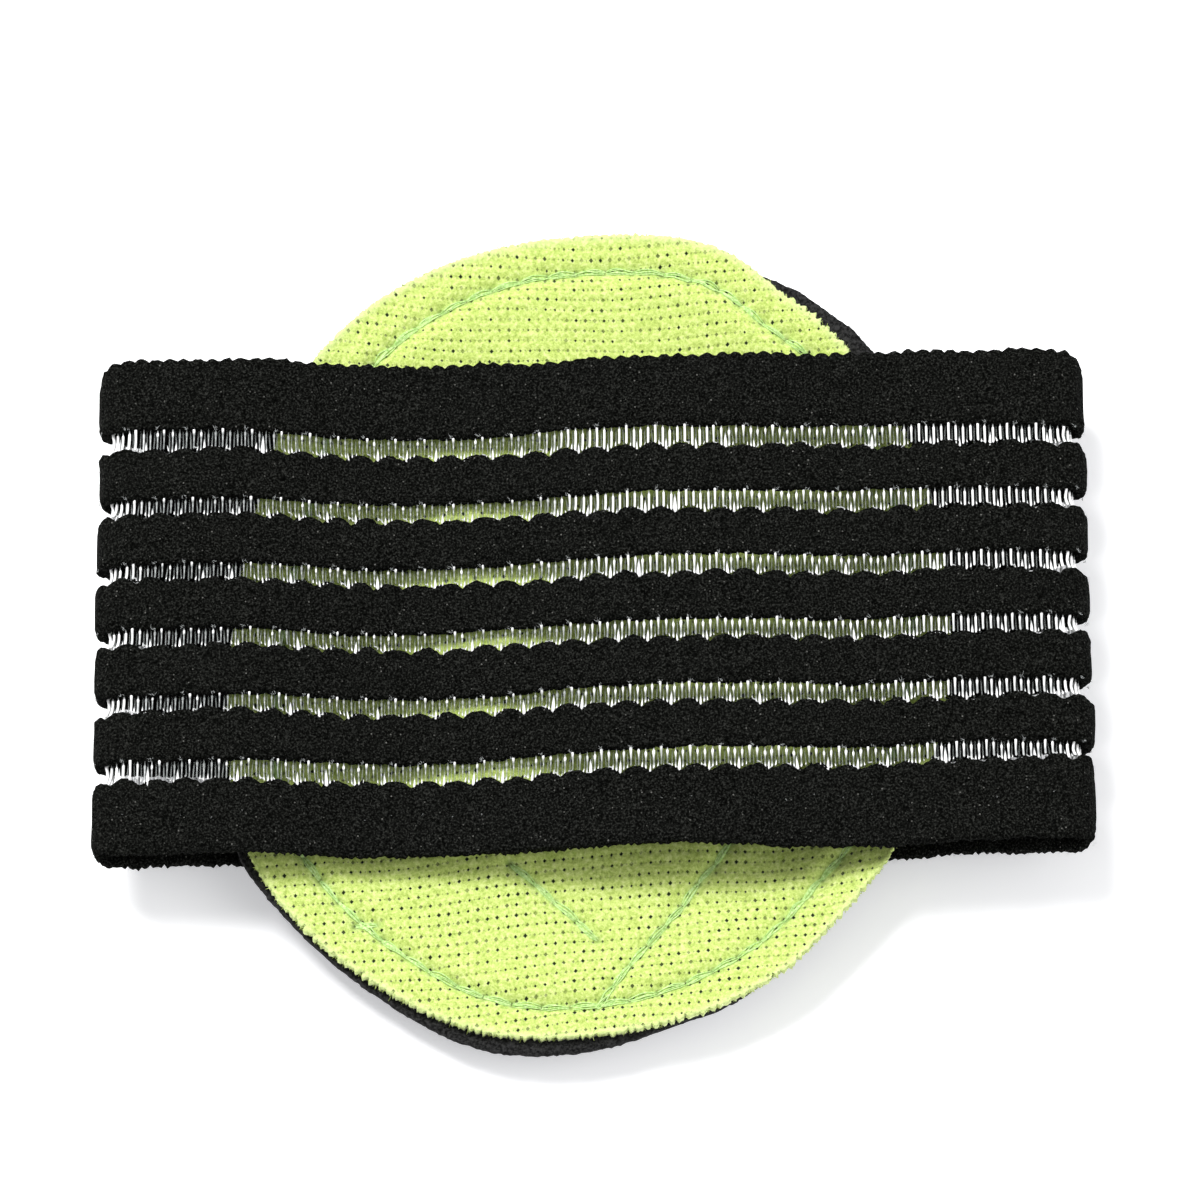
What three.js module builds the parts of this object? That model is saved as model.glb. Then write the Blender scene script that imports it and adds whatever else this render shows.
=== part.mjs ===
// Arch support sleeve: a striped elastic band, laid flat as a loop, around a dished oval pad.
// Millimetres, +Z up. The band runs along X, the foot goes in along Y, and the sleeve lies on
// the flat of its lower ply. The origin is at the middle of the whole outline, on the ground.

import * as THREE from 'three';
import { ParametricGeometry } from 'three/addons/geometries/ParametricGeometry.js';
import { mergeVertices } from 'three/addons/utils/BufferGeometryUtils.js';

// Band
const bandLength = 99.8;
const backRibWidth = 7.7;
const narrowRibWidth = 4.4;
const frontRibWidth = 7.6;
const narrowRibCount = 5;
const stripWidth = 2.5;
const ribThickness = 1.3;
const stripThickness = 0.6;
const ribEdgeRound = 0.32;
const ribEdgeShare = 0.4;
const foldThickness = 5.0;
const stripFoldRecess = 0.9;
const groundLength = 34;
const bandTaper = 1.8;
const leftLean = 0.9;
const edgeCornerRadius = 2.4;
const ribCornerRadius = 0.9;
const bandSetBack = 2.6;

// Pad
const padLength = 88.1;
const backingThickness = 1.2;
const coverThickness = 2.0;
const coverRimThickness = 0.9;
const coverRimWidth = 6.5;
const crescentWidth = 2.6;
const rimRise = 3.4;

// Room in the loop for the foot, above the pad
const hollowHeight = 4.9;

// Clearances
const stripGap = 0.3;
const layGap = 0.2;

// Top ply: the room left under it along the band.
// along is a share of half the band, room a share of hollowHeight.
const topPlyRoom = [
  { along: -0.90, room: 0.92 },
  { along: -0.69, room: 0.98 },
  { along: -0.50, room: 0.54 },
  { along: -0.30, room: 0.42 },
  { along: -0.10, room: 0.67 },
  { along: 0.02, room: 0.89 },
  { along: 0.20, room: 1.00 },
  { along: 0.40, room: 1.00 },
  { along: 0.60, room: 0.96 },
  { along: 0.80, room: 1.00 },
  { along: 0.90, room: 0.93 },
];

// Pad outline, anticlockwise from +X. reach is a share of half the pad's length, lift a share of
// rimRise, and show how far the backing stands out of the cover, a share of crescentWidth. Where
// show is below zero, the cover stands out of the backing.
const padOutline = [
  { degrees: 0, reach: 0.807, lift: 0.20, show: -0.1 },
  { degrees: 30, reach: 0.875, lift: 0.45, show: 0.4 },
  { degrees: 50, reach: 0.960, lift: 0.75, show: 0.8 },
  { degrees: 65, reach: 0.966, lift: 0.85, show: 0.1 },
  { degrees: 75, reach: 1.004, lift: 0.85, show: -0.15 },
  { degrees: 90, reach: 0.990, lift: 0.85, show: -0.15 },
  { degrees: 105, reach: 0.983, lift: 0.85, show: -0.15 },
  { degrees: 120, reach: 0.966, lift: 0.80, show: -0.15 },
  { degrees: 135, reach: 0.922, lift: 0.65, show: -0.15 },
  { degrees: 150, reach: 0.846, lift: 0.45, show: -0.1 },
  { degrees: 180, reach: 0.822, lift: 0.20, show: 0.1 },
  { degrees: 210, reach: 0.946, lift: 0.35, show: 0.35 },
  { degrees: 225, reach: 0.958, lift: 0.38, show: 0.05 },
  { degrees: 240, reach: 0.972, lift: 0.42, show: 0.2 },
  { degrees: 255, reach: 1.000, lift: 0.50, show: 0.48 },
  { degrees: 270, reach: 0.973, lift: 0.65, show: 0.42 },
  { degrees: 285, reach: 0.934, lift: 0.85, show: -0.35 },
  { degrees: 300, reach: 0.904, lift: 1.00, show: -0.3 },
  { degrees: 330, reach: 0.830, lift: 0.80, show: -0.2 },
];

// Share of its width that the lower ply loses in the middle, where the pad is sewn to it
const lowerNeck = 0.07;

// How fast the lower ply lifts towards the folds
const liftPower = 1.6;

// How finely the soft shapes are divided
const foldSteps = 8;
const bottomSteps = 12;
const padSteps = 54;
const padRings = [0, 0.3, 0.52, 0.72, 0.79, 0.86, 0.93, 1];

// Share of the pad's reach that lies flat, before its rim curls up
const flatShare = 0.72;
const curlPower = 1.5;

const bandDepth = backRibWidth + frontRibWidth + narrowRibCount * narrowRibWidth
  + (narrowRibCount + 1) * stripWidth;
const padTop = ribThickness + layGap + backingThickness + layGap + coverThickness;
const foldX = bandLength / 2 - foldThickness / 2;

// A smooth line of heights through a table, by three.js's own spline
function heightLine(rows, column, scale) {
  const points = rows.map((row) => new THREE.Vector2(row.along * bandLength / 2, row[column] * scale));
  return new THREE.SplineCurve(points);
}

const roomLine = heightLine(topPlyRoom, 'room', hollowHeight);
const foldTop = padTop + topPlyRoom.at(-1).room * hollowHeight + ribThickness;
const endRise = foldTop - foldThickness;

// How far the lower ply has lifted off the ground at x
function groundLift(x) {
  const past = Math.max(0, Math.abs(x) - groundLength / 2);
  const share = past / (foldX - groundLength / 2);
  return endRise * Math.pow(share, liftPower);
}

// The band's middle line in X and Z, anticlockwise: lower ply, right fold, top ply, left fold.
// recess shortens the loop at its folds, as the sheer strips are.
function bandLoop(recess) {
  const loop = [];
  const radius = (foldThickness - ribThickness) / 2;
  const endX = foldX - recess;
  for (let i = 0; i < bottomSteps; i += 1) {
    const x = endX * (2 * i / bottomSteps - 1);
    loop.push(new THREE.Vector2(x, groundLift(x) + ribThickness / 2));
  }
  const lowEnd = groundLift(endX) + ribThickness / 2;
  for (let i = 0; i < foldSteps; i += 1) {
    const turn = Math.PI * (i / foldSteps - 0.5);
    loop.push(new THREE.Vector2(endX + radius * Math.cos(turn), lowEnd + radius * (1 + Math.sin(turn))));
  }
  const highEnd = lowEnd + 2 * radius;
  loop.push(new THREE.Vector2(endX, highEnd));
  const topSteps = 2 * (topPlyRoom.length - 1);
  for (let i = 0; i <= topSteps; i += 1) {
    const point = roomLine.getPoint(1 - i / topSteps);
    loop.push(new THREE.Vector2(point.x, padTop + point.y + ribThickness / 2));
  }
  for (let i = 0; i < foldSteps; i += 1) {
    const turn = Math.PI * (i / foldSteps + 0.5);
    loop.push(new THREE.Vector2(-endX + radius * Math.cos(turn), lowEnd + radius * (1 + Math.sin(turn))));
  }
  return loop;
}

// A point on a closed line of points, share running from 0 to 1 around it
function pointAround(points, share, target) {
  const place = share * points.length;
  const index = Math.floor(place);
  const from = points[index % points.length];
  const to = points[(index + 1) % points.length];
  return target.lerpVectors(from, to, place - index);
}

// Merges the seams of a surface that closes on itself and drops the faces that have no area
function closedSolid(geometry) {
  geometry.deleteAttribute('normal');
  geometry.deleteAttribute('uv');
  const merged = mergeVertices(geometry, 1e-4);
  const index = merged.index.array;
  const kept = [];
  for (let i = 0; i < index.length; i += 3) {
    const [a, b, c] = index.slice(i, i + 3);
    if (a !== b && b !== c && c !== a) kept.push(a, b, c);
  }
  merged.setIndex(kept);
  merged.computeVertexNormals();
  return merged;
}

// Section of a rib: flat faces and rounded long edges. X runs across the band, Y outwards.
function ribSection(width) {
  const halfWidth = width / 2;
  const flatHalf = halfWidth - ribEdgeRound;
  const halfFace = ribThickness / 2;
  const halfEdge = halfFace * ribEdgeShare;
  return [
    new THREE.Vector2(-halfWidth, -halfEdge),
    new THREE.Vector2(-halfWidth, halfEdge),
    new THREE.Vector2(-flatHalf, halfFace),
    new THREE.Vector2(flatHalf, halfFace),
    new THREE.Vector2(halfWidth, halfEdge),
    new THREE.Vector2(halfWidth, -halfEdge),
    new THREE.Vector2(flatHalf, -halfFace),
    new THREE.Vector2(-flatHalf, -halfFace),
  ];
}

function stripSection() {
  const halfWidth = stripWidth / 2 - stripGap;
  const halfFace = stripThickness / 2;
  return [
    new THREE.Vector2(-halfWidth, -halfFace),
    new THREE.Vector2(-halfWidth, halfFace),
    new THREE.Vector2(halfWidth, halfFace),
    new THREE.Vector2(halfWidth, -halfFace),
  ];
}

// How far a rib's corner of the given radius has drawn in at x
function cornerPull(radius, x, endX) {
  const into = Math.min(radius, Math.max(0, Math.abs(x) - (endX - radius)));
  return radius - Math.sqrt(radius * radius - into * into);
}

// One loop of the band: a section swept round the loop. middle is its place across the band,
// and the two radii round its front and back corners at the folds.
function bandRing(middle, section, recess, frontRadius, backRadius) {
  const loop = bandLoop(recess);
  const outwards = loop.map((point, i) => {
    const before = loop[(i + loop.length - 1) % loop.length];
    const after = loop[(i + 1) % loop.length];
    return new THREE.Vector2(after.y - before.y, before.x - after.x).normalize();
  });
  const at = new THREE.Vector2();
  const out = new THREE.Vector2();
  const side = new THREE.Vector2();
  const endX = bandLength / 2 - recess;
  return closedSolid(new ParametricGeometry((u, v, target) => {
    pointAround(section, u, side);
    pointAround(loop, v, at);
    pointAround(outwards, v, out);
    const radius = side.x < 0 ? frontRadius : backRadius;
    const across = middle + side.x - Math.sign(side.x) * cornerPull(radius, at.x, endX);
    const onLower = v * loop.length <= bottomSteps;
    const neck = onLower ? lowerNeck * (1 - Math.pow(at.x / (foldX - recess), 4)) : 0;
    const fan = 1 - (bandTaper / bandDepth) * (at.x / bandLength) - neck;
    const reach = at.x < 0 ? 1 - (leftLean / bandDepth) * (across / (bandLength / 2)) : 1;
    target.set((at.x + side.y * out.x) * reach, bandSetBack + across * fan, at.y + side.y * out.y);
  }, section.length, loop.length));
}

// A rim as a closed curve: X and Y of the outline, with the rim's lift as Z. side is 0 for the
// whole pad, 1 for the cover and -1 for the backing, each drawn in where the other stands out.
function padRim(side) {
  const points = padOutline.map((row) => {
    const angle = THREE.MathUtils.degToRad(row.degrees);
    const drawnIn = Math.max(0, side * row.show);
    const reach = row.reach * padLength / 2 - drawnIn * crescentWidth;
    return new THREE.Vector3(reach * Math.cos(angle), reach * Math.sin(angle), row.lift * rimRise);
  });
  return new THREE.CatmullRomCurve3(points, true);
}

// Thickness of the cover, which its sewn rim presses flat
function coverAt(reach, share) {
  const inside = Math.min(1, reach * (1 - share) / coverRimWidth);
  return THREE.MathUtils.lerp(coverRimThickness, coverThickness, THREE.MathUtils.smoothstep(inside, 0, 1));
}

// One layer of the pad. It lies on the lower ply at height base, dished with the ply, and curls
// up at its rim as the whole pad does.
function padLayer(side, base, thicknessAt) {
  const rows = padRings.length - 1;
  const whole = padRim(0);
  const rim = padRim(side);
  const outermost = new THREE.Vector3();
  const edge = new THREE.Vector3();
  return closedSolid(new ParametricGeometry((u, v, target) => {
    whole.getPoint(u % 1, outermost);
    rim.getPoint(u % 1, edge);
    const reach = Math.hypot(edge.x, edge.y);
    const step = v * (2 * rows + 1);
    const place = Math.min(step, rows, 2 * rows + 1 - step);
    const ring = Math.min(rows - 1, Math.floor(place));
    const share = THREE.MathUtils.lerp(padRings[ring], padRings[ring + 1], place - ring);
    const wholeShare = share * reach / Math.hypot(outermost.x, outermost.y);
    const curl = Math.pow(Math.max(0, wholeShare - flatShare) / (1 - flatShare), curlPower);
    const x = edge.x * share;
    const y = edge.y * share;
    const under = base + groundLift(x) + outermost.z * curl;
    const onTop = THREE.MathUtils.clamp(step - rows, 0, 1);
    target.set(x, y, under + onTop * thicknessAt(reach, share));
  }, padSteps, 2 * rows + 1));
}

const finishes = {
  rib: { color: 0x141413, roughness: 0.95, metalness: 0 },
  sheer: { color: 0xd8dbdc, roughness: 0.3, metalness: 0 },
  cover: { color: 0xb9e04a, roughness: 0.9, metalness: 0 },
  backing: { color: 0x161615, roughness: 0.85, metalness: 0 },
};

function namedMesh(name, geometry, finish) {
  const mesh = new THREE.Mesh(geometry, new THREE.MeshStandardMaterial(finish));
  mesh.name = name;
  return mesh;
}

// Ribs and sheer strips in turn, from the back edge to the front edge
function makeBand() {
  const band = new THREE.Group();
  const ribWidths = [backRibWidth, ...Array(narrowRibCount).fill(narrowRibWidth), frontRibWidth];
  const lastRib = ribWidths.length - 1;
  let edge = bandDepth / 2;
  ribWidths.forEach((width, i) => {
    const isEdge = i === 0 || i === lastRib;
    const name = isEdge ? (i === 0 ? 'back_edge_rib' : 'front_edge_rib') : `rib_${i}`;
    const frontRadius = i === lastRib ? edgeCornerRadius : ribCornerRadius;
    const backRadius = i === 0 ? edgeCornerRadius : ribCornerRadius;
    const ring = bandRing(edge - width / 2, ribSection(width), 0, frontRadius, backRadius);
    band.add(namedMesh(name, ring, finishes.rib));
    edge -= width;
    if (i < lastRib) {
      const strip = bandRing(edge - stripWidth / 2, stripSection(), stripFoldRecess, 0, 0);
      band.add(namedMesh(`sheer_strip_${i + 1}`, strip, finishes.sheer));
      edge -= stripWidth;
    }
  });
  return band;
}

function makePad() {
  const pad = new THREE.Group();
  const backingBase = ribThickness + layGap;
  const coverBase = backingBase + backingThickness + layGap;
  const backing = padLayer(-1, backingBase, () => backingThickness);
  const cover = padLayer(1, coverBase, coverAt);
  pad.add(namedMesh('pad_backing', backing, finishes.backing));
  pad.add(namedMesh('pad_cover', cover, finishes.cover));
  return pad;
}

const sleeve = new THREE.Group();
sleeve.add(makeBand(), makePad());

// Sets the origin at the middle of the outline, at ground level
const outline = new THREE.Box3().setFromObject(sleeve);
const middle = outline.getCenter(new THREE.Vector3());
sleeve.position.set(-middle.x, -middle.y, -outline.min.z);
sleeve.updateMatrixWorld(true);

export default sleeve;
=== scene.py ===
"""Arch support sleeve: black knit ribs and clear strips round a lime mesh pad, lying flat."""
import itertools
import math

import bmesh
import bpy
import numpy as np
from mathutils import Euler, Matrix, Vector
from mathutils.bvhtree import BVHTree


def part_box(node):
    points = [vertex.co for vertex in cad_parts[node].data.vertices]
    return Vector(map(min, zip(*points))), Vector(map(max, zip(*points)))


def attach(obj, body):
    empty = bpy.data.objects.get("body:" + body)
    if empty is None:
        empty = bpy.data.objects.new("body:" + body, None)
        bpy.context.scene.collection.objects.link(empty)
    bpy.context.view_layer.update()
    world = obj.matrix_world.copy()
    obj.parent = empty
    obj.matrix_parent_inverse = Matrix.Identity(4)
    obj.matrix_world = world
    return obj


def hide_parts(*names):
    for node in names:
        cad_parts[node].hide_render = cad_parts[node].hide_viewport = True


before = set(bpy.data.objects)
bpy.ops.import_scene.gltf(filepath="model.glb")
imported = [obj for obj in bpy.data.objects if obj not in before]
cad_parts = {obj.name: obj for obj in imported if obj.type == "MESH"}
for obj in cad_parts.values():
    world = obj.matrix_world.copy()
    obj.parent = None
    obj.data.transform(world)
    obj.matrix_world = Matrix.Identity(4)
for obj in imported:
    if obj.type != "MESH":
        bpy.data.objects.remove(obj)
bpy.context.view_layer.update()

MM = 0.001
rng = np.random.default_rng(11)

# Camera and floor: where the camera aims, how far off it stands, how high it looks from and how
# far it rolls
AIM = Vector((0.9 * MM, 4.37 * MM, 5.0 * MM))
CAMERA_DISTANCE = 1.2
CAMERA_HEIGHT_DEG = 68.0
CAMERA_ROLL_DEG = 0.84
FRAME_WIDTH = 120 * MM
SENSOR_MM = 36.0
NEAREST_SEEN = 0.05
FARTHEST_SEEN = 10
FLOOR_HALF_WIDTH = 3

# Band: its ribs from back to front, and how finely the path of its wall is sampled round the loop
RIBS = ["back_edge_rib", "rib_1", "rib_2", "rib_3", "rib_4", "rib_5", "front_edge_rib"]
MIDDLE_RIB = "rib_3"
PLY_SAMPLES = 161
FOLD_SAMPLES = 25
PATH_SAMPLES = 4000
PLY_SMOOTHING = 1.2 * MM

# Band: a place well clear of it, the height half-way between its plies, where the yarn turns white
# at the folds, and how much narrower the lower ply is under the pad
CLEAR_OF_BAND = 0.1
BETWEEN_PLIES = 4 * MM
FOLD_START = 44 * MM
FOLD_FULL = 48 * MM
LOWER_NECK = 0.07

# Ribs: how finely they are drawn, the roundness of their section, and their knit
ALONG_STEPS = 700
NARROW_RIB_AROUND = 40
EDGE_RIB_AROUND = 56
RIB_HALF_THICKNESS = 0.65 * MM
EDGE_CORNER_RADIUS = 2.4 * MM
RIB_CORNER_RADIUS = 0.9 * MM
SIDE_POWER = 0.32
FACE_POWER = 0.62
WALE_RELIEF = 0.03 * MM
SIDE_RELIEF = 0.8
FOLD_COARSENESS = 0.35
EDGE_ROUGHNESS = 0.055 * MM
BEAD_PITCH = 1.44 * MM
BACK_BEAD_DEPTH = 0.34 * MM
BACK_BEAD_INSET = 0.12 * MM
FRONT_BEAD_DEPTH = 0.28 * MM
NARROW_BEAD_DEPTH = 0.05 * MM

# Ribs: how far their edges lie from the straight lines of the CAD nodes
FORWARD_BOW = 0.42 * MM
BOW_MIDDLE = 25 * MM
BOW_WIDTH = 8 * MM
BACK_RIB_OVERHANG = 0.75 * MM
NARROW_RIB_OVERHANG = 0.35 * MM
FRONT_RIB_OVERHANG = 0.45 * MM
BACK_RIB_DRAWN_IN = 0.4 * MM
BACK_RIB_BULGE = 0.35 * MM

# Clear yarn bars, four to a repeat of the knit, and the scalloped border at their feet, whose
# cusps stand a quarter of a repeat further along from one strip to the next and back
BAR_PITCH = 0.744 * MM
BARS_PER_REPEAT = 4
TALL_BAR_X = 6.65 * MM
SCALLOP_DEPTH = 0.7 * MM
SCALLOP_POWER = 0.8
CUSP_PHASES = (0.625, 0.375)
STRIP_FOLD_RECESS = 0.9 * MM

# Pad: the share of its radius that lies flat before it curls up, and the cover's thickness
FLAT_SHARE = 0.72
CURL_POWER = 1.5
COVER_THICKNESS = 2.0 * MM
COVER_RIM_THICKNESS = 0.9 * MM
COVER_RIM_WIDTH = 6.5 * MM
COVER_LUMPS = 0.03 * MM
FILLING_RISE = 2.2 * MM

# Teeth of the cover's cut rim
TOOTH_PITCH = 0.8 * MM
FINE_TEETH_MM = 0.05
BACK_WALES_MM = 0.55
FRONT_WALES_MM = 0.4
FRONT_FRAY_MM = 0.08

# Mesh knit: its grid, how its rows run, and the openings, whose sizes are shares of a cell
EYELET_PITCH = 0.95 * MM
EYELET_ROW = 1.09 * MM
EYELET_DEPTH = 0.14 * MM
CELLS_PER_EYELET = 4
FRONT_ROWS_CLIMB = 0.055
BACK_ROWS_BOW = 0.05
COLUMN_SWAY = 0.12
EYELET_SIZE = 0.12
EYELET_SIZE_SPREAD = 0.10
EYELET_SHARPNESS = 16.0
TICK_SIZE = 0.09
TICK_SHARPNESS = 18.0
TICK_DEPTH = 0.5

# Backing
BACKING_RINGS = 16
BACKING_SPOKES = 900
BACKING_FRAY = 0.04 * MM
BACKING_BULGE = 0.18 * MM
BACKING_CLEARANCE = 0.25 * MM

# Seams
SEAM_SPACING = 0.2 * MM
RIM_SEAM_DEPTH = 0.75 * MM
INNER_SEAM_DEPTH = 0.5 * MM
PUCKER_WIDTH = 0.9 * MM
SEAM_TINT_WIDTH = 0.42 * MM
STITCH_HOLE_SIZE = 0.28 * MM
STITCH_LENGTH = 2.9 * MM
STRANDS = (-2, -1, 0, 1, 2)
STRAND_PITCH = 0.13 * MM
STRAND_RADIUS = 0.062 * MM

# Loose ends and hairs
WISPS_PER_REPEAT = 6
WISP_RADIUS = 0.05 * MM
HAIRS_PER_RIB = 1400
HAIR_RADIUS = 0.018 * MM
LOWEST_HAIR = 0.85 * MM
RIM_ENDS = 4200
RIM_END_RADIUS = 0.05 * MM


def set_camera():
    data = bpy.data.cameras.new("camera")
    data.sensor_width = SENSOR_MM
    data.lens = SENSOR_MM * CAMERA_DISTANCE / FRAME_WIDTH
    data.clip_start = NEAREST_SEEN
    data.clip_end = FARTHEST_SEEN
    camera = bpy.data.objects.new("camera", data)
    bpy.context.scene.collection.objects.link(camera)
    height = math.radians(CAMERA_HEIGHT_DEG)
    away = Vector((0, -math.cos(height), math.sin(height)))
    camera.location = AIM + away * CAMERA_DISTANCE
    tilt = Euler((math.pi / 2 - height, 0, 0)).to_matrix()
    roll = Euler((0, 0, -math.radians(CAMERA_ROLL_DEG))).to_matrix()
    camera.rotation_euler = (tilt @ roll).to_euler()
    bpy.context.scene.camera = camera


set_camera()


def blur_gain(waves, width):
    """How much a blur leaves of each wave. width is in samples."""
    return np.exp(-2 * (math.pi * waves * width) ** 2)


def smooth_ring(values, width):
    """Smooths values that close on themselves. width is in samples."""
    gain = blur_gain(np.fft.rfftfreq(len(values)), width)
    return np.fft.irfft(np.fft.rfft(values) * gain, len(values))


def smoothstep(value, low, high):
    share = np.clip((value - low) / (high - low), 0, 1)
    return share * share * (3 - 2 * share)


def bell(distance, width):
    return np.exp(-(distance / width) ** 2)


def signed_power(value, power):
    return np.sign(value) * np.abs(value) ** power


def mesh_points(mesh):
    points = np.empty(len(mesh.vertices) * 3)
    mesh.vertices.foreach_get("co", points)
    return points.reshape(-1, 3)


def node_points(name):
    return mesh_points(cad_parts[name].data)


def finished_mesh(name, bm):
    mesh = bpy.data.meshes.new(name)
    bm.to_mesh(mesh)
    bm.free()
    return mesh


def distances_along(line):
    """How far along a line of points each of them lies."""
    steps = np.hypot(*np.diff(line, axis=0).T)
    return np.concatenate([[0], np.cumsum(steps)])


def points_along(line, distances):
    """Points at the given distances along a line, as its first and its second coordinates."""
    along = distances_along(line)
    return np.stack([np.interp(distances, along, line[:, axis]) for axis in (0, 1)])


def node_tree(name):
    bm = bmesh.new()
    bm.from_mesh(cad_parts[name].data)
    tree = BVHTree.FromBMesh(bm)
    bm.free()
    return tree


def box_middle(name):
    low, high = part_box(name)
    return (low[0] + high[0]) / 2, (low[1] + high[1]) / 2


BAND_X, BAND_Y = box_middle(MIDDLE_RIB)


def ply_heights(xs):
    """Outer faces of the upper and lower ply at each x, read off the middle rib."""
    tree = node_tree(MIDDLE_RIB)
    heights = []
    for start, way in ((CLEAR_OF_BAND, -1), (-CLEAR_OF_BAND, 1)):
        rays = [Vector((x + BAND_X, BAND_Y, start)) for x in xs]
        heights.append(np.array([tree.ray_cast(ray, Vector((0, 0, way)))[0].z for ray in rays]))
    return heights


def band_path():
    """The middle of the band's wall in X and Z, anticlockwise from the lower left, evenly spaced.
    X is measured from the middle of the band."""
    half_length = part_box(MIDDLE_RIB)[1][0] - BAND_X
    near_fold = half_length - 2.5 * MM
    top, bottom = ply_heights([near_fold])
    fold_x = half_length - (top[0] - bottom[0]) / 2
    xs = np.linspace(-fold_x, fold_x, PLY_SAMPLES)
    top, bottom = ply_heights(xs)
    top -= RIB_HALF_THICKNESS
    bottom += RIB_HALF_THICKNESS
    turn = np.linspace(-math.pi / 2, math.pi / 2, FOLD_SAMPLES)[1:-1]
    radius = (top[-1] - bottom[-1]) / 2
    centre = (top[-1] + bottom[-1]) / 2
    out = radius * np.cos(turn)
    up = radius * np.sin(turn)
    px = np.concatenate([xs, fold_x + out, xs[::-1], -fold_x - out])
    pz = np.concatenate([bottom, centre + up, top[::-1], centre - up])
    ring = np.stack([np.append(px, px[0]), np.append(pz, pz[0])], axis=1)
    length = distances_along(ring)[-1]
    px, pz = points_along(ring, np.linspace(0, length, PATH_SAMPLES, endpoint=False))
    blur = PLY_SMOOTHING / length * PATH_SAMPLES
    return smooth_ring(px, blur), smooth_ring(pz, blur), length, fold_x


PATH_X, PATH_Z, LOOP_LENGTH, FOLD_X = band_path()
_slope_x = np.roll(PATH_X, -1) - np.roll(PATH_X, 1)
_slope_z = np.roll(PATH_Z, -1) - np.roll(PATH_Z, 1)
_slope = np.hypot(_slope_x, _slope_z)
OUT_X = _slope_z / _slope
OUT_Z = -_slope_x / _slope
HALF_LENGTH = PATH_X.max() + RIB_HALF_THICKNESS
FOLD_HEIGHT = PATH_Z[PATH_X.argmax()]


def around_loop(table, share):
    """A value of the path's table at a share of the loop's length."""
    place = (share % 1) * len(table)
    return np.interp(place, np.arange(len(table) + 1), np.append(table, table[0]))


def top_share(x):
    """Where along the loop the upper ply passes over x."""
    upper = np.where(PATH_Z > PATH_Z.mean())[0]
    return upper[np.argmin(np.abs(PATH_X[upper] - x))] / len(PATH_X)


def edge_lines(name):
    """Straight lines y(x) of a rib's front and back edges, as polyfit gives them."""
    points = node_points(name) - np.array([BAND_X, 0, 0])
    off_folds = np.abs(points[:, 0]) < HALF_LENGTH - 6 * MM
    on_upper = points[:, 2] > 5 * MM
    points = points[off_folds & on_upper]
    spots = np.unique(np.round(points[:, 0], 4))
    rows = [points[np.abs(points[:, 0] - x) < 0.1 * MM, 1] for x in spots]
    front = np.polyfit(spots, [row.min() for row in rows], 1)
    back = np.polyfit(spots, [row.max() for row in rows], 1)
    return front, back


def left_lean():
    """How far the left fold runs to the right for each metre towards the back."""
    front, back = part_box(RIBS[-1]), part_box(RIBS[0])
    return (back[0][0] - front[0][0]) / (box_middle(RIBS[0])[1] - box_middle(RIBS[-1])[1])


EDGES = {name: edge_lines(name) for name in RIBS}


def forward_bow(name, x):
    """The ribs in front of the first two bow a little towards the front, right of the middle."""
    share = min(1, RIBS.index(name) / 2)
    return FORWARD_BOW * share * bell(x - BOW_MIDDLE, BOW_WIDTH)


def front_edge(name, x):
    """A rib's front edge. In the band's left half the ribs hang a little over their strips. In its
    right half the front rib hangs a little over the pad and the back rib draws in."""
    if name == RIBS[-1]:
        overhang = FRONT_RIB_OVERHANG * smoothstep(x, 6 * MM, 16 * MM)
    else:
        at_left = 1 - smoothstep(x, -26 * MM, 6 * MM)
        overhang = (BACK_RIB_OVERHANG if name == RIBS[0] else NARROW_RIB_OVERHANG) * at_left
    if name == RIBS[0]:
        overhang = overhang - BACK_RIB_DRAWN_IN * smoothstep(x, 26 * MM, 36 * MM)
    return np.polyval(EDGES[name][0], x) - overhang - forward_bow(name, x)


def back_edge(name, x):
    bulge = BACK_RIB_BULGE if name == RIBS[0] else 0.0
    edge = np.polyval(EDGES[name][1], x) + bulge * (1 - smoothstep(x, -14 * MM, -4 * MM))
    return edge - forward_bow(name, x)


LEFT_LEAN = left_lean()
BAR_COUNT = BARS_PER_REPEAT * round(LOOP_LENGTH / BAR_PITCH / BARS_PER_REPEAT)
REPEAT_COUNT = BAR_COUNT // BARS_PER_REPEAT
TALL_SHARE = top_share(TALL_BAR_X)


def repeat_phase(share):
    """Place within the knit's repeat, 0 at a tall bar."""
    return ((share - TALL_SHARE) * REPEAT_COUNT) % 1


def from_cusp(phase, strip_number):
    """How far a place in the repeat is from the cusp of a strip's scalloped border, 0 to 0.5."""
    return np.abs((phase - CUSP_PHASES[(strip_number + 1) % 2] + 0.5) % 1 - 0.5)


BUMP_SIZES = rng.uniform(0.8, 1.15, (len(RIBS), REPEAT_COUNT))


def scallop(share, strip_number):
    """How far a strip's scalloped border bulges towards the back, in bumps of uneven size."""
    phase = (share - TALL_SHARE) * REPEAT_COUNT - CUSP_PHASES[(strip_number + 1) % 2]
    size = BUMP_SIZES[strip_number, np.floor(phase).astype(int) % REPEAT_COUNT]
    round_bump = np.sin(math.pi * from_cusp(repeat_phase(share), strip_number)) ** SCALLOP_POWER
    return SCALLOP_DEPTH * size * round_bump


def between_plies(along):
    """The height that parts the lower ply from the upper one."""
    return np.interp(np.abs(along), [0, FOLD_X], [BETWEEN_PLIES, FOLD_HEIGHT])


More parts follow.
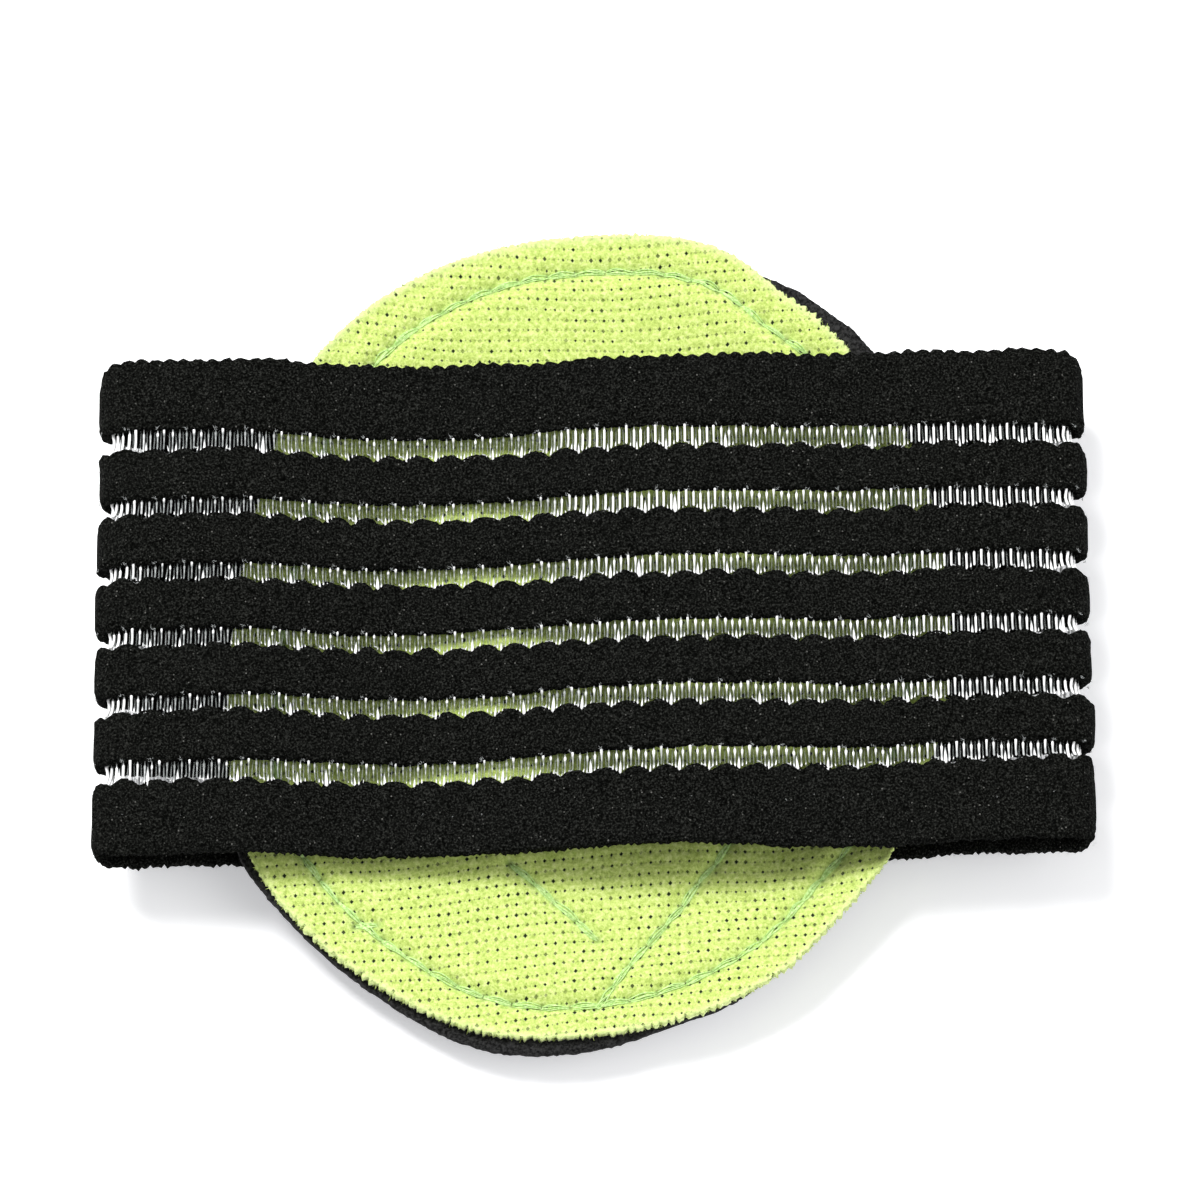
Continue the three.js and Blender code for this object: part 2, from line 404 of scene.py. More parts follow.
def on_band(share, y, out, recess=0.0):
    """Points on the band: share of the loop, place across it, and height out of its middle.
    recess draws them in at the folds."""
    shrink = 1 - recess / HALF_LENGTH
    along = around_loop(PATH_X, share)
    height = around_loop(PATH_Z, share)
    x = along * shrink + around_loop(OUT_X, share) * out
    z = height + around_loop(OUT_Z, share) * out
    on_lower = height < between_plies(along)
    neck = LOWER_NECK * np.clip(1 - (along / FOLD_X) ** 4, 0, 1) * on_lower
    across = y - BAND_Y
    x = BAND_X + x - np.minimum(x, 0) / HALF_LENGTH * LEFT_LEAN * across
    return np.stack([x, BAND_Y + across * (1 - neck), z], axis=-1)


def corner_pull(radius, x):
    """How far a rounded corner draws an edge in near the folds."""
    into = np.clip(np.abs(x) - (HALF_LENGTH - radius), 0, radius)
    return radius - np.sqrt(radius ** 2 - into ** 2)


def unit_grid(name, x_steps, y_steps):
    """A square grid from 0 to 1 each way, as a mesh and its two coordinates."""
    bm = bmesh.new()
    bmesh.ops.create_grid(bm, x_segments=x_steps, y_segments=y_steps, size=0.5)
    bmesh.ops.translate(bm, verts=bm.verts, vec=(0.5, 0.5, 0))
    mesh = finished_mesh(name, bm)
    flat = mesh_points(mesh)
    return mesh, flat[:, 0], flat[:, 1]


def add_piece(name, mesh, material):
    mesh.materials.append(material)
    mesh.polygons.foreach_set("use_smooth", [True] * len(mesh.polygons))
    piece = bpy.data.objects.new(name, mesh)
    bpy.context.scene.collection.objects.link(piece)
    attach(piece, "root")
    return piece


# How close vertices are merged, on knit and backing, on yarn and thread, and on fibres
SEAM_GAP = 1e-6
FINE_GAP = 1e-8
FINEST_GAP = 1e-9


def close_seams(mesh, gap=SEAM_GAP):
    """Merges the vertices that meet where a surface closes on itself."""
    bm = bmesh.new()
    bm.from_mesh(mesh)
    bmesh.ops.remove_doubles(bm, verts=bm.verts, dist=gap)
    bmesh.ops.dissolve_degenerate(bm, edges=bm.edges, dist=gap)
    bmesh.ops.recalc_face_normals(bm, faces=bm.faces)
    bm.to_mesh(mesh)
    bm.free()


def place_vertices(mesh, points):
    mesh.vertices.foreach_set("co", np.ascontiguousarray(points, dtype=np.float32).ravel())
    mesh.update()


def set_attribute(mesh, name, values):
    layer = mesh.attributes.new(name, "FLOAT", "POINT")
    layer.data.foreach_set("value", np.ascontiguousarray(values, dtype=np.float32))


class Shader:
    """A principled material and short ways to add nodes to it."""

    def __init__(self, name, **sockets):
        self.material = bpy.data.materials.new(name)
        self.material.use_nodes = True
        self.nodes = self.material.node_tree.nodes
        self.links = self.material.node_tree.links
        self.principled = self.nodes["Principled BSDF"]
        for socket, value in sockets.items():
            self.principled.inputs[socket.replace("_", " ")].default_value = value
        self.coordinates = self.nodes.new("ShaderNodeTexCoord").outputs["Object"]

    def add(self, kind, inputs=None, **settings):
        node = self.nodes.new(kind)
        for key, value in settings.items():
            setattr(node, key, value)
        for key, value in (inputs or {}).items():
            if isinstance(value, bpy.types.NodeSocket):
                self.links.new(value, node.inputs[key])
            else:
                node.inputs[key].default_value = value
        return node

    def noise(self, scale, detail=2.0, roughness=0.6):
        inputs = {"Scale": scale, "Detail": detail, "Roughness": roughness}
        inputs["Vector"] = self.coordinates
        return self.add("ShaderNodeTexNoise", inputs).outputs["Fac"]

    def cells(self, scale):
        inputs = {"Vector": self.coordinates, "Scale": scale}
        return self.add("ShaderNodeTexVoronoi", inputs).outputs

    def channels(self, colour):
        return self.add("ShaderNodeSeparateColor", {"Color": colour}).outputs

    def ramp(self, value, stops):
        node = self.add("ShaderNodeValToRGB", {"Fac": value})
        ends = node.color_ramp.elements
        while len(ends) < len(stops):
            ends.new(0.5)
        for end, (place, colour) in zip(ends, stops):
            end.position = place
            end.color = (*colour, 1)
        return node.outputs["Color"]

    def mix(self, share, first, second):
        """Mixes two colours. Sockets 0, 6 and 7 are the mix node's for colours."""
        inputs = {0: share, 6: first, 7: second}
        return self.add("ShaderNodeMix", inputs, data_type="RGBA").outputs[2]

    def maths(self, operation, first, second=0.0, clamp=False):
        inputs = {0: first, 1: second}
        node = self.add("ShaderNodeMath", inputs, operation=operation, use_clamp=clamp)
        return node.outputs[0]

    def times(self, first, second):
        return self.maths("MULTIPLY", first, second)

    def times_plus(self, value, factor, offset, clamp=False):
        return self.maths("ADD", self.times(value, factor), offset, clamp)

    def off_middle(self, value):
        """How far a place is from the middle of its cell, 0 to 0.5."""
        return self.maths("ABSOLUTE", self.maths("SUBTRACT", self.maths("FRACT", value), 0.5))

    def attribute(self, name):
        return self.add("ShaderNodeAttribute", attribute_name=name).outputs["Fac"]

    def bump(self, height, distance, strength=1.0, under=None):
        inputs = {"Height": height, "Distance": distance, "Strength": strength}
        if under is not None:
            inputs["Normal"] = under
        return self.add("ShaderNodeBump", inputs).outputs["Normal"]

    def connect(self, socket, output):
        self.links.new(output, self.principled.inputs[socket])


def black_knit_material():
    """Matt black plush with tufts, and a few tiny grey specks where a tuft catches the light."""
    shader = Shader("black_knit", Roughness=0.95)
    shader.principled.inputs["Specular IOR Level"].default_value = 0.02
    plush = shader.noise(4800.0, 3.0, 0.75)
    colour = shader.ramp(plush, [
        (0.40, (0.0004, 0.0005, 0.0003)),
        (0.52, (0.0048, 0.0052, 0.0045)),
        (0.66, (0.031, 0.032, 0.029)),
    ])
    spots = shader.cells(2100.0)
    chance = shader.channels(spots["Color"])
    near = shader.maths("LESS_THAN", spots["Distance"], 0.17)
    rare = shader.maths("GREATER_THAN", chance[0], 0.80)
    speck = shader.times(shader.times(near, rare), chance[1])
    shader.connect("Base Color", shader.mix(speck, colour, (0.13, 0.13, 0.12, 1)))
    tufts = shader.bump(shader.cells(2300.0)["Distance"], 0.16 * MM, 1.0)
    shader.connect("Normal", shader.bump(plush, 0.14 * MM, 1.0, tufts))
    return shader.material


def clear_yarn_material():
    """Monofilament: nearly clear where its whiteness attribute is 0, and white where it is 1. That
    white is partly the yarn's own milkiness and partly painted highlights on the bars' heads,
    glints and feet.
    """
    shader = Shader("clear_yarn", Roughness=0.25, IOR=1.5)
    milk_and_highlight = shader.attribute("milk_and_highlight")
    shader.connect("Base Color", shader.ramp(milk_and_highlight, [
        (0.0, (0.26, 0.29, 0.28)),
        (0.5, (0.62, 0.64, 0.64)),
        (0.9, (1, 1, 1)),
    ]))
    shader.connect("Alpha", shader.times_plus(milk_and_highlight, 0.9, 0.16, clamp=True))
    return shader.material


def knit_openings(shader, cloud):
    """How open the mesh knit is: a pit of its own size and depth at each eyelet, and a small tick
    between one eyelet and the next. The same value darkens the knit's colour as painted shade."""
    rows = shader.attribute("knit_rows")
    row = shader.maths("FLOOR", rows)
    sway = shader.times(shader.maths("SINE", shader.times(row, 2.4)), COLUMN_SWAY)
    columns = shader.maths("ADD", shader.attribute("knit_columns"), sway)
    across = shader.off_middle(columns)
    up = shader.off_middle(rows)
    cell_inputs = {0: shader.maths("FLOOR", columns), 1: row}
    cell = shader.add("ShaderNodeCombineXYZ", cell_inputs).outputs[0]
    random = shader.add("ShaderNodeTexWhiteNoise", {"Vector": cell}, noise_dimensions="2D")
    chance = shader.channels(random.outputs["Color"])

    size = shader.times_plus(chance[0], EYELET_SIZE_SPREAD, EYELET_SIZE)
    gap = shader.maths("SUBTRACT", size, shader.maths("ADD", across, up))
    pit = shader.times_plus(gap, EYELET_SHARPNESS, 0.5, clamp=True)
    side = shader.add("ShaderNodeSeparateXYZ", {"Vector": shader.coordinates}).outputs[1]
    in_back_half = shader.maths("GREATER_THAN", side, 0.0)
    patch = shader.times_plus(cloud, 1.6, -0.25)
    patch = shader.maths("SUBTRACT", patch, shader.times(in_back_half, 0.22))
    depth = shader.times_plus(shader.maths("POWER", chance[1], 1.6), 0.95, patch, clamp=True)
    pit = shader.times(pit, depth)

    between = shader.maths("SUBTRACT", 0.5, across)
    gap = shader.maths("SUBTRACT", TICK_SIZE, shader.maths("ADD", between, up))
    tick = shader.times_plus(gap, TICK_SHARPNESS, 0.5, clamp=True)
    tick = shader.times(tick, shader.times(chance[2], TICK_DEPTH))
    return shader.times(shader.maths("MAXIMUM", pit, tick), shader.attribute("inside_rim"))


def lime_mesh_material():
    """Fluffy lime knit, greener along the seams, with painted light that makes the rim paler and
    painted shade that makes the openings dark.
    """
    shader = Shader("lime_mesh", Roughness=0.9, Sheen_Weight=0.25, Sheen_Roughness=0.45)
    shader.principled.inputs["Specular IOR Level"].default_value = 0.15
    cloud = shader.noise(420.0, 4.0, 0.65)
    fluff = shader.noise(2400.0, 4.0, 0.8)
    base = shader.ramp(fluff, [
        (0.34, (0.28, 0.40, 0.07)),
        (0.5, (0.53, 0.67, 0.17)),
        (0.66, (0.76, 0.86, 0.36)),
    ])
    base = shader.mix(shader.times(cloud, 0.3), base, (0.60, 0.70, 0.16, 1))
    base = shader.mix(shader.times(shader.attribute("seam"), 0.3), base, (0.27, 0.60, 0.17, 1))
    # Painted light: the rim is mixed towards pale lime. This lights up the front lobe's side wall,
    # which faces away from the key light, and the back lobe's upper edge.
    base = shader.mix(shader.attribute("rim_painted_light"), base, (0.82, 0.93, 0.48, 1))
    openings = knit_openings(shader, cloud)
    # Painted shade: the eyelets, ticks and stitch holes are darkened towards near black, for the
    # shade inside them.
    dark = shader.maths("MAXIMUM", openings, shader.attribute("stitch_hole"))
    shader.connect("Base Color", shader.mix(dark, base, (0.012, 0.022, 0.003, 1)))
    sunk = shader.maths("SUBTRACT", fluff, dark)
    shader.connect("Normal", shader.bump(sunk, 0.16 * MM, 0.9))
    return shader.material


def lime_thread_material():
    shader = Shader("lime_thread", Roughness=0.6, Sheen_Weight=0.05)
    twist = shader.noise(4200.0, 2.0)
    shader.connect("Base Color", shader.ramp(twist, [
        (0.3, (0.32, 0.57, 0.13)),
        (0.7, (0.69, 0.88, 0.40)),
    ]))
    return shader.material


def black_backing_material():
    shader = Shader("black_backing", Roughness=0.85)
    shader.principled.inputs["Specular IOR Level"].default_value = 0.12
    weave = shader.noise(3200.0, 3.0, 0.75)
    shader.connect("Base Color", shader.ramp(weave, [
        (0.40, (0.002, 0.002, 0.002)),
        (0.62, (0.033, 0.033, 0.033)),
    ]))
    shader.connect("Normal", shader.bump(weave, 0.12 * MM, 0.7))
    return shader.material


# Softness of a knit face, from coarse to fine: size in samples and depth in millimetres
PLUSH_LAYERS = [
    {"size": 7.0, "depth": 0.05},
    {"size": 2.2, "depth": 0.05},
    {"size": 0.9, "depth": 0.035},
]


def plush_relief(stations, around):
    """Random softness of a knit face, as a field that closes both ways."""
    field = np.zeros((stations, around))
    for layer in PLUSH_LAYERS:
        rough = rng.standard_normal((stations, around))
        for axis, length in ((0, stations), (1, around)):
            shape = (-1, 1) if axis == 0 else (1, -1)
            gain = blur_gain(np.fft.fftfreq(length), layer["size"]).reshape(shape)
            rough = np.fft.ifft(np.fft.fft(rough, axis=axis) * gain, axis=axis).real
        field += rough / rough.std() * layer["depth"]
    return field * MM


def knit_rib(name, material):
    """One rib: a pillowed section swept round the loop, with its scalloped and beaded edges."""
    is_back = name == RIBS[0]
    is_front = name == RIBS[-1]
    around = EDGE_RIB_AROUND if is_back or is_front else NARROW_RIB_AROUND
    mesh, u, v = unit_grid(name + "_knit", around, ALONG_STEPS)
    angle = 2 * math.pi * u
    side = signed_power(np.cos(angle), SIDE_POWER)
    face = signed_power(np.sin(angle), FACE_POWER)
    column = np.round(u * around).astype(int) % around
    row = np.round(v * ALONG_STEPS).astype(int) % ALONG_STEPS
    share = v % 1
    x = around_loop(PATH_X, share)
    at_fold = smoothstep(np.abs(x), HALF_LENGTH - 4 * MM, HALF_LENGTH - 1 * MM)
    relief = plush_relief(ALONG_STEPS, around)[row, column] * (1 + FOLD_COARSENESS * at_fold)
    front = front_edge(name, x)
    back = back_edge(name, x)
    front += corner_pull(EDGE_CORNER_RADIUS if is_front else RIB_CORNER_RADIUS, x)
    back -= corner_pull(EDGE_CORNER_RADIUS if is_back else RIB_CORNER_RADIUS, x)
    beads = np.abs(np.sin(math.pi * share * round(LOOP_LENGTH / BEAD_PITCH)))
    fine_beads = np.abs(np.sin(math.pi * share * BAR_COUNT))
    if is_back:
        back += beads * BACK_BEAD_DEPTH - BACK_BEAD_INSET
    else:
        back += scallop(share, RIBS.index(name))
    if is_front:
        front -= (fine_beads - 0.5) * FRONT_BEAD_DEPTH
    else:
        front -= fine_beads * NARROW_BEAD_DEPTH
    back += (rng.standard_normal(ALONG_STEPS) * EDGE_ROUGHNESS)[row]
    front += (rng.standard_normal(ALONG_STEPS) * EDGE_ROUGHNESS)[row]
    wales = WALE_RELIEF * np.cos(2 * math.pi * share * BAR_COUNT)
    y = (back + front) / 2 + ((back - front) / 2 + relief * SIDE_RELIEF) * side
    points = on_band(share, y, face * (RIB_HALF_THICKNESS + wales + relief))
    points[:, 2] = np.maximum(points[:, 2], 0)
    place_vertices(mesh, points)
    close_seams(mesh)
    piece = add_piece(name + "_knit", mesh, material)
    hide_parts(name)


# Shape of a clear yarn bar from foot to head. height is a share of the strip's width, and radius
# is in millimetres.
BAR_SHAPE = [
    {"height": -0.06, "radius": 0.05},
    {"height": 0.02, "radius": 0.09},
    {"height": 0.14, "radius": 0.09},
    {"height": 0.32, "radius": 0.075},
    {"height": 0.50, "radius": 0.075},
    {"height": 0.61, "radius": 0.095},
    {"height": 0.70, "radius": 0.125},
    {"height": 0.80, "radius": 0.125},
    {"height": 0.85, "radius": 0.07},
    {"height": 1.06, "radius": 0.035},
]
HEAD_HEIGHT = 0.82
TALL_HEAD_LIFT = 0.22 * MM

# How far past its neighbours' each bar's head reaches, and how bright the painted highlight on it
# is, from the tall bar on
HEAD_RISE = np.array([0.34, 0.05, -0.07, 0.08]) * MM
TALL_HEAD_BRIGHT = 1.0
SHORT_HEAD_BRIGHT = 0.2
OTHER_HEADS_BRIGHT = (0.85, 0.35)
OTHER_BRIGHT_SHARE = 0.4

# Shape of the wedge where two bars meet at their feet, and its whiteness, a painted highlight
FOOT_SHAPE = [
    {"rise": 0.0, "radius": 0.115, "milk_and_highlight": 1.0},
    {"rise": 0.3, "radius": 0.10, "milk_and_highlight": 1.0},
    {"rise": 0.7, "radius": 0.065, "milk_and_highlight": 0.8},
    {"rise": 1.0, "radius": 0.02, "milk_and_highlight": 0.4},
]
FOOT_HEIGHT = 0.44
FOOT_LINK_MILK_AND_HIGHLIGHT = 0.6

# The bars of the inner face: how far in they lie, and their radius
INNER_BAR_DEPTH = 0.36 * MM
INNER_BAR_RADIUS = 0.08 * MM
LINK_RADIUS = 0.07 * MM

# How white the bars of each strip are in the middle of the band
MIDDLE_WHITE = [0.95, 0.9, 0.5, 0.2, 0.1, 0.1]


def column_of(rows, key):
    """One column of a shape's table."""
    return np.array([row[key] for row in rows])


def tube_template(rings, sides):
    """A closed unit tube along Z from 0 to 1, as vertices and faces, with each vertex's ring."""
    bm = bmesh.new()
    bmesh.ops.create_cone(bm, cap_ends=True, segments=sides, radius1=1, radius2=1, depth=1)
    bmesh.ops.translate(bm, verts=bm.verts, vec=(0, 0, 0.5))
    upright = [edge for edge in bm.edges if abs(edge.verts[0].co.z - edge.verts[1].co.z) > 0.5]
    bmesh.ops.subdivide_edges(bm, edges=upright, cuts=rings - 2, use_grid_fill=True)
    bm.verts.ensure_lookup_table()
    points = np.array([vertex.co[:] for vertex in bm.verts])
    faces = [[vertex.index for vertex in face.verts] for face in bm.faces]
    bm.free()
    ring = np.round(points[:, 2] * (rings - 1)).astype(int)
    return points, faces, ring


def joined_copies(name, faces, count, per_copy):
    """A mesh of count copies of a template's faces, its vertices still to be placed."""
    lengths = np.array([len(face) for face in faces])
    corners = np.concatenate([np.array(face) for face in faces])
    shifts = np.arange(count)[:, None] * per_copy
    all_corners = (corners[None, :] + shifts).ravel()
    all_lengths = np.tile(lengths, count)
    starts = np.concatenate([[0], np.cumsum(all_lengths)[:-1]])
    mesh = bpy.data.meshes.new(name)
    mesh.vertices.add(count * per_copy)
    mesh.loops.add(len(all_corners))
    mesh.loops.foreach_set("vertex_index", all_corners.astype(np.int32))
    mesh.polygons.add(len(all_lengths))
    mesh.polygons.foreach_set("loop_start", starts.astype(np.int32))
    mesh.update(calc_edges=True)
    return mesh


def white_length(x, number):
    """How white a strip's bars are all along: at the folds, towards the right, and in the middle
    of the back strips."""
    at_folds = smoothstep(np.abs(x), FOLD_START, FOLD_FULL)
    at_right = (1.0 - 0.08 * number) * smoothstep(x, 28 * MM, 36 * MM)
    in_middle = smoothstep(x, -7 * MM, 0) * (1 - smoothstep(x, 10 * MM, 17 * MM))
    return np.maximum.reduce([at_folds, at_right, MIDDLE_WHITE[number - 1] * in_middle])


def bar_milk_and_highlight(height, x, bright_head, near_cusp, number):
    """How white a clear bar is painted at each height: grey, with a painted highlight on the tip
    and one painted glint at the left, and a long white head in the right half."""
    long_head = smoothstep(x, -7 * MM, 3 * MM)
    # The head, the glint and the foot are painted highlights. The grey, the tail and the white
    # towards the folds are the yarn's own whiteness.
    head = smoothstep(height, 0.58, 0.68) * bright_head
    tail = 0.8 * long_head * smoothstep(height, 0.30, 0.70)
    glint = (1 - long_head) * 0.55 * bell(height - 0.46, 0.10)
    foot = (0.1 + 0.75 * near_cusp) * (1 - smoothstep(height, 0.04, 0.22))
    grey = 0.06 + 0.18 * smoothstep(-x, 24 * MM, 34 * MM)
    parts = np.broadcast_arrays(grey, head, tail, glint, foot)
    milk_and_highlight = np.maximum.reduce(parts)
    milk_and_highlight = milk_and_highlight + (0.97 - milk_and_highlight) * white_length(x, number)
    return milk_and_highlight * (1 - smoothstep(height, HEAD_HEIGHT, 0.9))


class SheerStrip:
    """One clear strip: bars of yarn in two layers, and the yarn at their feet. share is where each
    bar stands along the loop, kind its place in the knit's repeat, and near_cusp how close it is
    to a cusp of the scalloped border, from 0 to 1."""

    def __init__(self, number, material):
        self.number = number
        self.material = material
        self.behind = RIBS[number - 1]
        self.ahead = RIBS[number]
        self.bars = np.arange(BAR_COUNT)
        self.kind = self.bars % BARS_PER_REPEAT
        wander = rng.normal(0, 0.03 * MM, BAR_COUNT) / LOOP_LENGTH
        self.share = TALL_SHARE + self.bars / BAR_COUNT + wander
        self.x = around_loop(PATH_X, self.share)[:, None]
        cusp_distance = from_cusp(self.kind / BARS_PER_REPEAT, number)
        self.near_cusp = 1 - smoothstep(cusp_distance, 0.1, 0.4)[:, None]

    def beside(self, distance, bars_along=0.0):
        """Places along the loop, so many bars and a distance past each bar."""
        return self.share[:, None] + bars_along / BAR_COUNT + distance / LOOP_LENGTH

    def points(self, share, height, extra, out):
        """Points on the strip. height is a share of its width, and extra is added to it."""
        x = around_loop(PATH_X, share)
        foot = back_edge(self.ahead, x) + scallop(share, self.number)
        head = front_edge(self.behind, x)
        return on_band(share, foot + (head - foot) * height + extra, out, STRIP_FOLD_RECESS)

    def add_yarn(self, name, faces, points, milk_and_highlight):
        name = f"{name}_{self.number}"
        mesh = joined_copies(name, faces, len(points), points.shape[1])
        place_vertices(mesh, points.reshape(-1, 3))
        milk_and_highlight = np.clip(np.broadcast_to(milk_and_highlight, points.shape[:2]), 0, 1)
        set_attribute(mesh, "milk_and_highlight", milk_and_highlight.ravel())
        close_seams(mesh, FINE_GAP)
        return add_piece(name, mesh, self.material)

    def head_brightness(self):
        """How bright the painted highlight on each bar's head is in the left half: most at the tall
        bars.
        In the right half all are bright."""
        chosen = rng.random(BAR_COUNT) < OTHER_BRIGHT_SHARE
        bright = np.where(self.kind == 2, SHORT_HEAD_BRIGHT, np.where(chosen, *OTHER_HEADS_BRIGHT))
        bright = np.where(self.kind == 0, TALL_HEAD_BRIGHT, bright)[:, None]
        return np.maximum(bright, smoothstep(self.x, -9 * MM, 5 * MM))

    def outer_bars(self):
        """The bars of the outer face, which stand in for the strip's CAD node."""
        points, faces, ring = tube_template(len(BAR_SHAPE), 5)
        height = column_of(BAR_SHAPE, "height")[ring][None, :]
        girth = 1 + rng.normal(0, 0.09, (BAR_COUNT, 1))
        girth = girth + 0.15 * smoothstep(self.x, -11 * MM, -3 * MM)
        radius = column_of(BAR_SHAPE, "radius")[ring][None, :] * MM * girth
        full = (0.13 + 0.03 * smoothstep(np.abs(self.x), FOLD_START, FOLD_FULL)) * MM
        on_bar = (height > 0) & (height < HEAD_HEIGHT)
        radius = radius + white_length(self.x, self.number) * (full - radius) * on_bar
        rise = HEAD_RISE[self.kind] + rng.normal(0, 0.05 * MM, BAR_COUNT)
        rise = rise[:, None] * smoothstep(height, 0.5, 0.72)
        tall = (self.kind == 0)[:, None] * (height < HEAD_HEIGHT)
        lift = TALL_HEAD_LIFT * tall * smoothstep(height, 0.5, 0.75)
        sag = (0.42 - 0.32 * height - 0.8 * height * (1 - height)) * MM
        out = sag + lift + radius * points[:, 1]
        bright = self.head_brightness()
        milk_and_highlight = bar_milk_and_highlight(height, self.x, bright, self.near_cusp, self.number)
        milk_and_highlight = milk_and_highlight * (1 + rng.normal(0, 0.10, (BAR_COUNT, 1)))
        share = self.beside(radius * points[:, 0])
        piece = self.add_yarn("sheer_bars", faces, self.points(share, height, rise, out), milk_and_highlight)
        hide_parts(f"sheer_strip_{self.number}")

    def inner_bars(self):
        """The fainter bars of the inner face, between those of the outer one."""
        points, faces, ring = tube_template(4, 4)
        height = ring[None, :] / 3 * 1.1 - 0.05
        slope = rng.normal(0, 0.10 * MM, (BAR_COUNT, 1)) * (height - 0.5)
        share = self.beside(slope + INNER_BAR_RADIUS * points[:, 0], 0.5)
        out = np.broadcast_to(INNER_BAR_RADIUS * points[:, 1] - INNER_BAR_DEPTH, share.shape)
        at_left = smoothstep(-self.x, 20 * MM, 34 * MM)
        pale = 0.03 + (0.15 + 0.2 * at_left) * rng.random((BAR_COUNT, 1)) * (1 - height)
        self.add_yarn("inner_bars", faces, self.points(share, height, 0.0, out), pale)

    def feet(self):
        """Wedges of yarn between the feet of the bars, large at the cusps, painted white as a
        highlight.
        """
        points, faces, ring = tube_template(len(FOOT_SHAPE), 5)
        away = from_cusp((self.kind + 0.5) / BARS_PER_REPEAT, self.number)
        size = np.interp(away, [0.0, 0.25, 0.5], [1.25, 0.6, 0.2])
        size = (size * (1 + rng.normal(0, 0.22, BAR_COUNT)))[:, None]
        rise = column_of(FOOT_SHAPE, "rise")[ring][None, :]
        radius = column_of(FOOT_SHAPE, "radius")[ring][None, :] * MM * size
        sway = rng.normal(0, 0.06 * MM, (BAR_COUNT, 1)) * rise
        share = self.beside(sway + radius * points[:, 0], 0.5)
        out = (0.44 - 0.30 * rise) * MM + radius * points[:, 1] * 0.8
        spots = self.points(share, FOOT_HEIGHT * size * rise - 0.07, 0.0, out)
        milk_and_highlight = column_of(FOOT_SHAPE, "milk_and_highlight")[ring][None, :]
        self.add_yarn("yarn_feet", faces, spots, milk_and_highlight)

    def foot_links(self):
        """Short yarns along the foot of the strip, from some of the bars or half-way between."""
        points, faces, ring = tube_template(3, 4)
        chosen = self.bars[rng.random(BAR_COUNT) < 0.55 * self.near_cusp[:, 0]]
        half = np.where(rng.random(len(chosen)) < 0.5, 0.0, 0.5)
        share = TALL_SHARE + ((chosen + half)[:, None] + ring[None, :] / 4) / BAR_COUNT
        out = np.broadcast_to(0.46 * MM + LINK_RADIUS * points[:, 1], share.shape)
        across = rng.uniform(-0.08, 0.10, (len(chosen), 1)) * MM + LINK_RADIUS * points[:, 0]
        spots = self.points(share, 0.0, across, out)
        # The links' whiteness is partly a painted highlight.
        self.add_yarn("foot_links", faces, spots, FOOT_LINK_MILK_AND_HIGHLIGHT)


def sheer_strip(number, material):
    strip = SheerStrip(number, material)
    strip.outer_bars()
    strip.inner_bars()
    strip.feet()
    strip.foot_links()


def head_wisps(material):
    """Loose ends of clear yarn above the tall bars, and the row of them on the front rib."""
    roots = []
    ways = []
    repeats = np.repeat(np.arange(REPEAT_COUNT), WISPS_PER_REPEAT)
    count = len(repeats)
    for rib in RIBS[:-1]:
        wander = rng.normal(0, 0.12 * MM, count) / LOOP_LENGTH
        share = TALL_SHARE + repeats / REPEAT_COUNT + wander
        edge = front_edge(rib, around_loop(PATH_X, share))
        y = edge + rng.uniform(-0.30, 0.02, count) * MM
        roots.append(on_band(share, y, np.full(count, 0.62 * MM)))
        ways.append(np.stack([
            rng.normal(-0.6, 0.5, count),
            rng.uniform(0.4, 1, count),
            rng.normal(0, 0.15, count),
        ], axis=1))
    wander = rng.normal(0, 0.05, REPEAT_COUNT)
    share = TALL_SHARE + (np.arange(REPEAT_COUNT) + wander) / REPEAT_COUNT
    x = around_loop(PATH_X, share)
    front, back = (np.polyval(line, x) for line in EDGES[RIBS[-1]])
    y = front + (back - front) * rng.normal(0.55, 0.03, REPEAT_COUNT)
    roots.append(on_band(share, y, np.full(REPEAT_COUNT, 0.66 * MM)))
    ways.append(rng.normal(0, 0.6, (REPEAT_COUNT, 3)) * np.array([1, 1, 0.1]))
    roots = np.concatenate(roots)
    above = roots[:, 2] > 2 * MM
    lengths = rng.uniform(0.10, 0.30, above.sum()) * MM
    ways = np.concatenate(ways)[above]
    piece = fibres("head_wisps", roots[above], ways, lengths, WISP_RADIUS, material)
    set_attribute(piece.data, "milk_and_highlight", rng.uniform(0.05, 0.5, len(piece.data.vertices)))


def pad_middle():
    """The middle of the pad, where its rings of faces run together."""
    points = node_points("pad_cover")
    middle = np.array([*box_middle("pad_cover"), 0])
    nearest = np.hypot(*(points - middle)[:, :2].T).argmin()
    return points[nearest, :2]


PAD_X, PAD_Y = pad_middle()


def pad_polar(x, y):
    """Direction and distance from the middle of the pad."""
    return np.arctan2(y - PAD_Y, x - PAD_X), np.hypot(x - PAD_X, y - PAD_Y)


def ground_lift(x):
    """How far the pad's underside rises with the lower ply at each x."""
    lower = PATH_Z < between_plies(PATH_X)
    order = np.argsort(PATH_X[lower])
    heights = PATH_Z[lower][order] - PATH_Z[lower].min()
    return np.interp(x - BAND_X, PATH_X[lower][order], heights)


# Where a layer's rim stands out a little more: direction and width in degrees, reach in millimetres
RIM_BULGES = {
    "pad_cover": [
        {"at": 54.3, "width": 4, "reach": 0.28},
        {"at": 68.5, "width": 3.5, "reach": 0.32},
        {"at": -40.9, "width": 4, "reach": 0.45},
    ],
    "pad_backing": [
        {"at": 62, "width": 3.5, "reach": 0.7},
        {"at": -72.6, "width": 4.5, "reach": 0.8},
    ],
}


